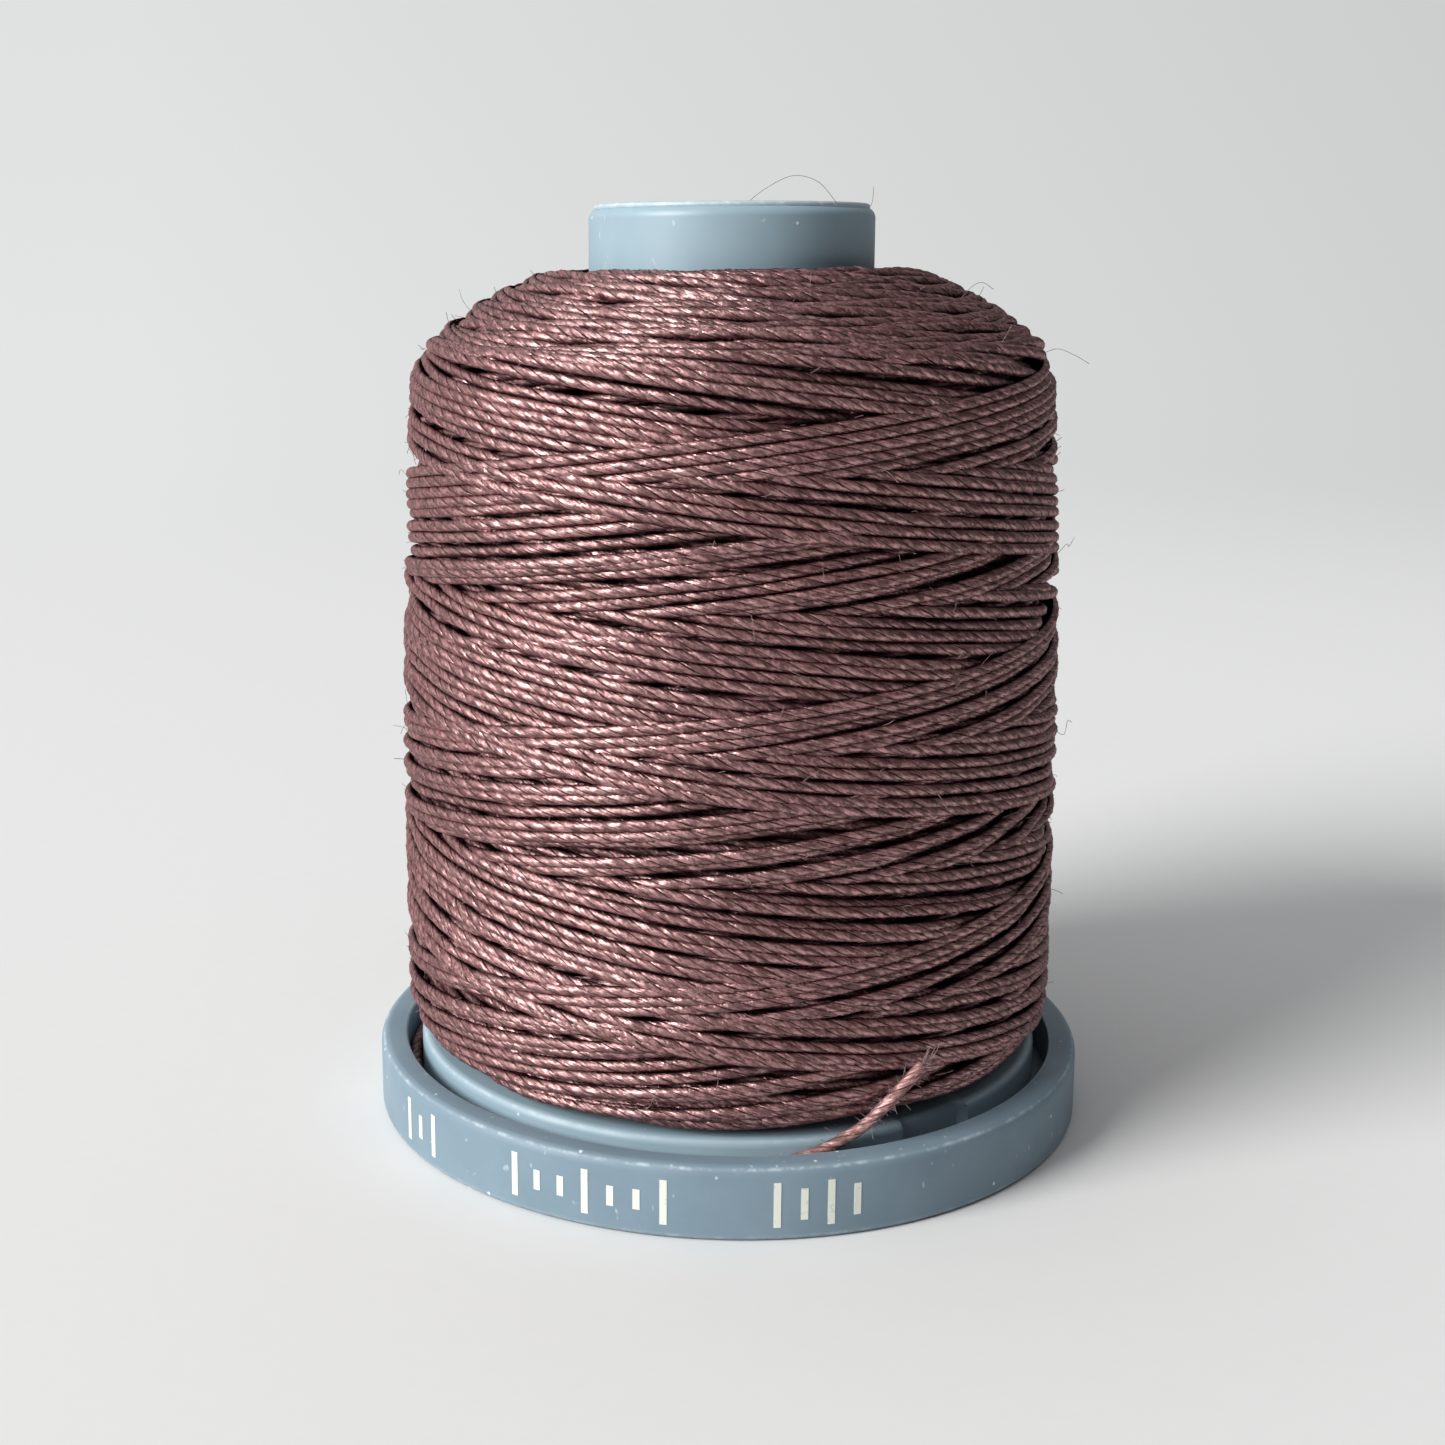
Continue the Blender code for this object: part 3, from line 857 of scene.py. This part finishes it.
# Groups of plain bars: the first one's azimuth in degrees, their number, and their heights in turn, as
# shares of the print's height.
PRINT_GROUPS = (
    (-58.5, 3, (1.0, 0.55)),
    (-32.5, 7, (1.0, 0.45, 0.45)),
    (7.0, 4, (1.0, 0.7)),
    (-86.0, 2, (0.8,)),
)
# From bar to bar, and a bar's width, in degrees.
PRINT_STEP = 3.9
PRINT_BAR = 1.05
INK_SCALE = 3500.0
INK_COLOUR = (0.72, 0.74, 0.66, 1.0)
THIN_INK_COLOUR = (0.33, 0.42, 0.46, 1.0)


def fillet(centre_radius, centre_height, size, start, end):
    """Outline points along an arc, its angles in degrees from outward, counterclockwise."""
    angles = np.radians(np.linspace(start, end, FILLET_STEPS + 1))
    return [(centre_radius + size * math.cos(a), centre_height + size * math.sin(a)) for a in angles]


def turned_solid(name, outline):
    """A closed body of revolution from an outline of (radius, height) points, in counterclockwise order."""
    mesh = grid_mesh(name, [turned_rings([*outline, outline[0]], TURN_STEPS)], closed_ends=False)
    shape = bmesh.new()
    shape.from_mesh(mesh)
    bmesh.ops.remove_doubles(shape, verts=shape.verts, dist=WELD_DISTANCE)
    bmesh.ops.recalc_face_normals(shape, faces=shape.faces)
    shape.to_mesh(mesh)
    shape.free()
    return mesh


def reshaped(mesh, move):
    """Moves a mesh's points by a function of their radius, azimuth and height."""
    count = len(mesh.vertices)
    places = np.empty(count * 3, np.float32)
    mesh.vertices.foreach_get("co", places)
    x, y, z = places.astype(float).reshape(-1, 3).T
    moved = on_axis(*move(np.hypot(x, y), np.arctan2(x, -y), z))
    mesh.vertices.foreach_set("co", moved.astype(np.float32).ravel())
    mesh.update()


def finish_edges(mesh):
    """Smooth shading that stops at the sharp edges."""
    mesh.shade_smooth()
    mesh.set_sharp_from_angle(angle=SHARP_ANGLE)


def cut_finger_slots(mesh):
    """Parts the stem into four fingers with two bars across it."""
    body = in_scene("uncut", mesh)
    height = STEM_TOP - FINGER_SLOT_BOTTOM + MM
    bars = []
    for turn in FINGER_SLOT_TURNS:
        shape = bmesh.new()
        bmesh.ops.create_cube(shape, size=1.0)
        bmesh.ops.scale(shape, vec=(4.0 * STEM_RADIUS, FINGER_SLOT_WIDTH, height), verts=shape.verts)
        bar_mesh = bpy.data.meshes.new("bar")
        shape.to_mesh(bar_mesh)
        shape.free()
        bar = in_scene("bar", bar_mesh)
        bar.location = (0.0, 0.0, FINGER_SLOT_BOTTOM + height / 2.0)
        bar.rotation_euler = (0.0, 0.0, math.radians(turn))
        step = body.modifiers.new("slot", "BOOLEAN")
        step.operation = "DIFFERENCE"
        step.solver = "EXACT"
        step.object = bar
        bars.append(bar)
    bpy.context.view_layer.update()
    evaluated = body.evaluated_get(bpy.context.evaluated_depsgraph_get())
    done = bpy.data.meshes.new_from_object(evaluated)
    for scratch in (body, *bars):
        bpy.data.objects.remove(scratch, do_unlink=True)
    return done


def build_base(look):
    """The dished base: foot ring, rim, and the latch stem with its four fingers."""
    inner_edge = RIM_INNER_RADIUS + RIM_INNER_FILLET
    outline = [
        (SPINDLE_RADIUS, FOOT_RECESS),
        (FOOT_INNER_RADIUS, FOOT_RECESS),
        (FOOT_INNER_RADIUS + FOOT_RECESS, 0.0),
        *fillet(BASE_RADIUS - BASE_FOOT_FILLET, BASE_FOOT_FILLET, BASE_FOOT_FILLET, -90.0, 0.0),
        *fillet(BASE_RADIUS - RIM_TOP_FILLET, RIM_HEIGHT - RIM_TOP_FILLET, RIM_TOP_FILLET, 0.0, 90.0),
        *fillet(inner_edge, RIM_HEIGHT - RIM_INNER_FILLET, RIM_INNER_FILLET, 90.0, 180.0),
        (RIM_INNER_RADIUS, FLOOR_TOP),
        (STEM_RADIUS, FLOOR_TOP),
        (STEM_RADIUS, BARB_BOTTOM),
        (BARB_RADIUS, BARB_BOTTOM),
        (BARB_RADIUS, BARB_BOTTOM + BARB_EDGE),
        (STEM_TIP_RADIUS, STEM_TOP),
        (SPINDLE_RADIUS, STEM_TOP),
    ]
    mesh = turned_solid("base_moulding", outline)

    def raise_seam(radius, azimuth, height):
        ridge = np.exp(-(((azimuth - MOULD_SEAM) / MOULD_SEAM_WIDTH) ** 2))
        outer = radius > BASE_RADIUS - RIM_TOP_FILLET
        return radius + np.where(outer, ridge * MOULD_SEAM_PROUD, 0.0), azimuth, height

    reshaped(mesh, raise_seam)
    mesh = cut_finger_slots(mesh)
    mesh.name = "base_moulding"
    finish_edges(mesh)
    place("base_moulding", mesh, look, "base", "base_plastic", "base_cap")


def build_core(look):
    """The core: flange with its thread catch, barrel, collar, and the ledge for the latch fingers."""
    rounding_middle = BARREL_RADIUS - COLLAR_FILLET
    bead_middle = BARREL_RADIUS - COLLAR_FILLET / 2.0 - COLLAR_BEAD
    bead_bottom = COLLAR_TOP - COLLAR_BEAD
    outline = [
        (BORE_RADIUS, HUB_BOTTOM),
        (WEB_INNER_RADIUS, HUB_BOTTOM),
        (WEB_INNER_RADIUS, WEB_BOTTOM),
        (WEB_OUTER_RADIUS, WEB_BOTTOM),
        (WEB_OUTER_RADIUS, FLANGE_BOTTOM),
        (FLANGE_RADIUS, FLANGE_BOTTOM),
        *fillet(FLANGE_RADIUS - FLANGE_FILLET, FLANGE_TOP - FLANGE_FILLET, FLANGE_FILLET, 0.0, 90.0),
        (BARREL_RADIUS, FLANGE_TOP),
        *fillet(rounding_middle, bead_bottom - COLLAR_FILLET, COLLAR_FILLET, 0.0, COLLAR_FILLET_END),
        *fillet(bead_middle, bead_bottom, COLLAR_BEAD, COLLAR_BEAD_START, 90.0),
        (SPINDLE_RADIUS + SPINDLE_LEAD_IN, COLLAR_TOP),
        (SPINDLE_RADIUS, COLLAR_TOP - SPINDLE_LEAD_IN),
        (SPINDLE_RADIUS, COLLAR_TOP - END_WALL),
        (BORE_RADIUS, COLLAR_TOP - END_WALL),
        (BORE_RADIUS, LEDGE_TOP + BORE_RADIUS - LEDGE_RADIUS),
        (LEDGE_RADIUS, LEDGE_TOP),
        (LEDGE_RADIUS, LEDGE_BOTTOM),
        (BORE_RADIUS, LEDGE_BOTTOM - LEDGE_LEAD),
    ]
    mesh = turned_solid("core_moulding", outline)

    def step_catch(radius, azimuth, height):
        inside = eased(np.minimum(azimuth - CATCH_START, CATCH_END - azimuth) / CATCH_EASE)
        seam = np.exp(-(((azimuth - CATCH_START) / CATCH_SEAM_WIDTH) ** 2))
        edge = radius > FLANGE_RADIUS - CATCH_BAND * FLANGE_FILLET
        radius = radius - np.where(edge, inside * CATCH_DEPTH + seam * CATCH_SEAM_DEPTH, 0.0)
        upper = edge & (height > FLANGE_TOP - FLANGE_FILLET / 2.0)
        return radius, azimuth, height - np.where(upper, inside * CATCH_DROP + seam * CATCH_DROP, 0.0)

    reshaped(mesh, step_catch)
    finish_edges(mesh)
    place("core_moulding", mesh, look, "core", "core_plastic", "spool_core")


# Scales of the plastic's noises, for each metre.
MOTTLE_SCALE = 240.0
GRAIN_SCALE = 8000.0
NICK_SCALE = 2600.0
NICK_STRETCH = (1.0, 1.0, 0.55)
DUST_SCALE = 1000.0
PATCHY_LINE_SCALE = 1500.0
# A speck's size as a share of its cell, and the draw from which a cell has one.
DUST_SIZE = (0.05, 0.10)
DUST_FROM = (0.68, 0.69)
NICK_COLOUR = (0.62, 0.70, 0.73, 1.0)
DUST_COLOUR = (0.80, 0.84, 0.85, 1.0)
# The pale lines' colour: wear on some edges, a painted highlight on others.
WEAR_AND_HIGHLIGHT_COLOUR = (0.66, 0.74, 0.77, 1.0)
PLASTIC_BUMP = {"Strength": 0.10, "Distance": 0.03 * MM}


def near_line(tree, radius, height, line_radius, line_height, width):
    """1 on a line round the axis, falling to 0 at this distance from it."""
    across = maths(tree, "SUBTRACT", radius, line_radius)
    up = maths(tree, "SUBTRACT", height, line_height)
    far = maths(tree, "ADD", maths(tree, "MULTIPLY", across, across), maths(tree, "MULTIPLY", up, up))
    return mapped(tree, maths(tree, "SQRT", far), 0.0, width, 1.0, 0.0)


def plastic_material(name, light, dark, roughness, shine, wear_and_highlight_lines):
    """Satin moulded plastic: faint mottling, fine grain, dust, nicks, and pale lines along edges, worn on
    some and painted highlights on others.

    Each pale line is its radius, height and width, and how pale it is at least and at most."""
    look, tree, shader = new_material(name, Specular_IOR_Level=shine)
    where = add(tree, "TexCoord", {}).outputs["Object"]
    split = add(tree, "SeparateXYZ", {"Vector": where})
    flat = add(tree, "CombineXYZ", {"X": split.outputs["X"], "Y": split.outputs["Y"]}).outputs[0]
    radius = add(tree, "VectorMath", {0: flat}, operation="LENGTH").outputs["Value"]
    mottle = noise(tree, where, MOTTLE_SCALE, detail=4.0, roughness=0.6)
    grain = noise(tree, where, GRAIN_SCALE)
    nicks = noise(tree, scaled(tree, where, NICK_STRETCH), NICK_SCALE, detail=1.5)
    dust = add(tree, "TexVoronoi", {"Vector": where, "Scale": DUST_SCALE})
    pick = add(tree, "SeparateColor", {"Color": dust.outputs["Color"]}).outputs[0]
    dot = mapped(tree, dust.outputs["Distance"], *DUST_SIZE, 1.0, 0.0)
    dot = maths(tree, "MULTIPLY", dot, mapped(tree, pick, *DUST_FROM))
    tone = mixed(tree, mapped(tree, mottle, 0.32, 0.68), dark, light)
    tone = mixed(tree, mapped(tree, nicks, 0.72, 0.76, 0.0, 0.35), tone, NICK_COLOUR)
    tone = mixed(tree, maths(tree, "MULTIPLY", dot, 0.85), tone, DUST_COLOUR)
    # Pale lines along edges, broken up by noise: wear on some, painted highlights on others.
    patchy_line = noise(tree, where, PATCHY_LINE_SCALE, detail=3.0, roughness=0.65)
    for line_radius, line_height, width, least, most in wear_and_highlight_lines:
        wear = near_line(tree, radius, split.outputs["Z"], line_radius, line_height, width)
        wear = maths(tree, "MULTIPLY", wear, mapped(tree, patchy_line, 0.48, 0.68, least, most))
        tone = mixed(tree, wear, tone, WEAR_AND_HIGHLIGHT_COLOUR)
    satin = mapped(tree, mottle, 0.3, 0.7, roughness + 0.06, roughness - 0.06)
    relief = maths(tree, "MULTIPLY_ADD", nicks, 0.7, grain)
    bump = add(tree, "Bump", {**PLASTIC_BUMP, "Height": relief})
    drive(tree, shader, Base_Color=tone, Roughness=satin, Normal=bump.outputs["Normal"])
    return look


def print_material():
    """Off-white printed ink, thin enough in places for the plastic to show."""
    look, tree, shader = new_material("print", Roughness=0.55)
    where = add(tree, "TexCoord", {}).outputs["Object"]
    wear = noise(tree, where, INK_SCALE, detail=3.0, roughness=0.6)
    tone = mixed(tree, mapped(tree, wear, 0.58, 0.72, 0.0, 0.55), INK_COLOUR, THIN_INK_COLOUR)
    drive(tree, shader, Base_Color=tone, Roughness=mapped(tree, wear, 0.3, 0.7, 0.5, 0.65))
    return look


def print_patch(start, end, low, high):
    """A thin curved patch on the rim's wall, between two azimuths in degrees and two heights."""
    steps = max(2, math.ceil(end - start) + 1)
    azimuth = np.radians(np.linspace(start, end, steps))
    root, skin = BASE_RADIUS - PRINT_THICKNESS, BASE_RADIUS + PRINT_THICKNESS
    section = ((root, low), (skin, low), (skin, high), (root, high))
    sides = [on_axis(radius, azimuth, np.full(steps, height)) for radius, height in section]
    return np.stack(sides, axis=1)[::-1]


def build_print():
    """Plain index marks round the rim, in place of print."""
    runs = []
    for start, count, pattern in PRINT_GROUPS:
        for index in range(count):
            azimuth = start + index * PRINT_STEP
            reach = pattern[index % len(pattern)] * PRINT_HEIGHT / 2.0
            runs.append(print_patch(azimuth, azimuth + PRINT_BAR, PRINT_MIDDLE - reach, PRINT_MIDDLE + reach))
    mesh = grid_mesh("rim_print", runs)
    finish_edges(mesh)
    place("rim_print", mesh, print_material(), "base", "base_plastic")


build_base(
    plastic_material(
        "base_plastic",
        (0.198, 0.272, 0.329, 1.0),
        (0.169, 0.239, 0.292, 1.0),
        0.50,
        0.30,
        # Pale lines: the rim's outer top edge, worn; the rim's inner top edge, a painted highlight; the foot,
        # worn.
        (
            (BASE_RADIUS - 0.12 * MM, RIM_HEIGHT - 0.12 * MM, 0.12 * MM, 0.12, 0.7),
            (RIM_INNER_RADIUS + 0.05 * MM, RIM_HEIGHT - 0.03 * MM, 0.11 * MM, 0.55, 0.95),
            (BASE_RADIUS, 0.15 * MM, 0.15 * MM, 0.1, 0.35),
        ),
    )
)
build_core(
    plastic_material(
        "core_plastic",
        (0.29, 0.39, 0.45, 1.0),
        (0.25, 0.35, 0.41, 1.0),
        0.44,
        0.5,
        # Pale lines on the collar's top and the flange's rounded edge, both painted highlights.
        (
            (BARREL_RADIUS - 0.30 * MM, COLLAR_TOP - 0.06 * MM, 0.20 * MM, 0.4, 0.95),
            (FLANGE_RADIUS - 0.1 * MM, FLANGE_TOP - 0.1 * MM, 0.13 * MM, 0.2, 0.5),
        ),
    )
)
build_print()

# --- Studio ---

SHEET_STEPS = 96
FLOOR_RADIUS = 0.6
FLOOR_DROP = 0.02 * MM
PAPER_COLOURS = ((0.718, 0.722, 0.718, 1.0), (0.735, 0.739, 0.735, 1.0))
# The floor passes into the backdrop's glow between these distances from the spool.
FLOOR_FADE = (0.11, 0.34)
BOWL_RADIUS = 1.2
BOWL_HEIGHT = 1.4
BOWL_STEPS = 12
BOWL_CROWN = 0.3
# The glow's colours between these slopes sideways, and how it dims up to this slope upwards. The slopes are
# laid out from one fixed point, the main view's, and stay in place when the camera moves.
GLOW_LEFT = (0.775, 0.785, 0.78, 1.0)
GLOW_RIGHT = (0.60, 0.61, 0.605, 1.0)
GLOW_SIDEWAYS = (-0.30, 0.48)
GLOW_UPWARDS = 0.22
GLOW_TOP = 0.945
# The key light, a large disc at the left: degrees, metres and watts.
KEY_AZIMUTH = math.radians(-56.0)
KEY_ELEVATION = math.radians(28.0)
KEY_DISTANCE = 3.0
KEY_SIZE = 1.6
KEY_POWER = 128.0
KEY_COLOUR = (1.0, 0.995, 0.98)
KEY_AIM = (0.0, 0.0, 0.02)
# The sky is brightest towards this direction.
SKY_TOWARDS = (-0.66, 0.28, 0.70)
SKY_RANGE = (-0.35, 0.9)
SKY_DARK = (0.055, 0.055, 0.06, 1.0)
SKY_BRIGHT = (0.66, 0.67, 0.68, 1.0)


def turned_sheet(name, outline, look):
    """An open surface of revolution, its faces pointing up and inwards."""
    mesh = grid_mesh(name, [turned_rings(outline, SHEET_STEPS)], closed_ends=False)
    mesh.materials.append(look)
    sheet = in_scene(name, mesh)
    return sheet


def backdrop_glow(tree):
    """The backdrop's own light: paler at the left, and darker to the right and towards the top."""
    where = add(tree, "NewGeometry", {}).outputs["Position"]
    split = add(tree, "SeparateXYZ", {"Vector": where})
    away = maths(tree, "MAXIMUM", maths(tree, "ADD", split.outputs["Y"], CAMERA_DISTANCE), 0.02)
    sideways = maths(tree, "DIVIDE", split.outputs["X"], away)
    upwards = maths(tree, "MAXIMUM", maths(tree, "DIVIDE", split.outputs["Z"], away), 0.0)
    glow = mixed(tree, mapped(tree, sideways, *GLOW_SIDEWAYS), GLOW_LEFT, GLOW_RIGHT)
    dimming = mapped(tree, upwards, 0.0, GLOW_UPWARDS, 1.0, GLOW_TOP)
    return add(tree, "VectorMath", {0: glow, "Scale": dimming}, operation="SCALE").outputs["Vector"]


def make_studio():
    """A paper floor that passes into a glowing backdrop, which lights nothing itself."""
    paper, tree, shader = new_material("paper", Roughness=0.9)
    where = add(tree, "NewGeometry", {}).outputs["Position"]
    fine = noise(tree, where, 900.0, detail=3.0)
    drive(tree, shader, Base_Color=mixed(tree, fine, *PAPER_COLOURS))
    far = add(tree, "VectorMath", {0: where}, operation="LENGTH").outputs["Value"]
    glow = add(tree, "Emission", {"Color": backdrop_glow(tree), "Strength": 1.0})
    share = mapped(tree, far, *FLOOR_FADE, interpolation_type="SMOOTHSTEP")
    blend = add(tree, "MixShader", {0: share, 1: shader.outputs[0], 2: glow.outputs[0]})
    tree.links.new(blend.outputs[0], tree.nodes["Material Output"].inputs["Surface"])
    turned_sheet("floor", [(radius, -FLOOR_DROP) for radius in (0.1 * MM, 0.1, FLOOR_RADIUS)], paper)

    sweep, tree, shader = new_material(
        "sweep", Base_Color=(0.0, 0.0, 0.0, 1.0), Roughness=1.0, Specular_IOR_Level=0.0, Emission_Strength=1.0
    )
    drive(tree, shader, Emission_Color=backdrop_glow(tree))
    outline = [(FLOOR_RADIUS, -FLOOR_DROP)]
    for step in range(1, BOWL_STEPS + 1):
        turn = math.radians(90.0) * step / BOWL_STEPS
        reach = FLOOR_RADIUS + (BOWL_RADIUS - FLOOR_RADIUS) * math.sin(turn)
        outline.append((reach, BOWL_HEIGHT / 2.0 * (1.0 - math.cos(turn))))
    outline.append((BOWL_RADIUS, BOWL_HEIGHT))
    outline.append((MM, BOWL_HEIGHT + BOWL_CROWN))
    bowl = turned_sheet("sweep", outline, sweep)
    for ray in ("diffuse", "glossy", "shadow", "transmission"):
        setattr(bowl, f"visible_{ray}", False)


def make_key_light():
    lamp = bpy.data.lights.new("key", "AREA")
    lamp.shape = "DISK"
    lamp.size = KEY_SIZE
    lamp.energy = KEY_POWER
    lamp.color = KEY_COLOUR
    light = in_scene("key", lamp)
    direction = Vector(on_axis(math.cos(KEY_ELEVATION), KEY_AZIMUTH, math.sin(KEY_ELEVATION)))
    light.location = direction * KEY_DISTANCE + Vector(KEY_AIM)
    light.rotation_mode = "QUATERNION"
    light.rotation_quaternion = direction.to_track_quat("Z", "Y")
    light.visible_camera = False


def make_sky():
    """A soft sky, bright above and at the left, and nearly dark at the right."""
    world = bpy.data.worlds.new("studio")
    world.use_nodes = True
    tree = world.node_tree
    where = add(tree, "TexCoord", {}).outputs["Generated"]
    towards = add(tree, "VectorMath", {0: where, 1: SKY_TOWARDS}, operation="DOT_PRODUCT")
    share = mapped(tree, towards.outputs["Value"], *SKY_RANGE)
    tree.links.new(mixed(tree, share, SKY_DARK, SKY_BRIGHT), tree.nodes["Background"].inputs["Color"])
    bpy.context.scene.world = world


make_studio()
make_key_light()
make_sky()
bpy.context.scene.view_settings.view_transform = "Standard"
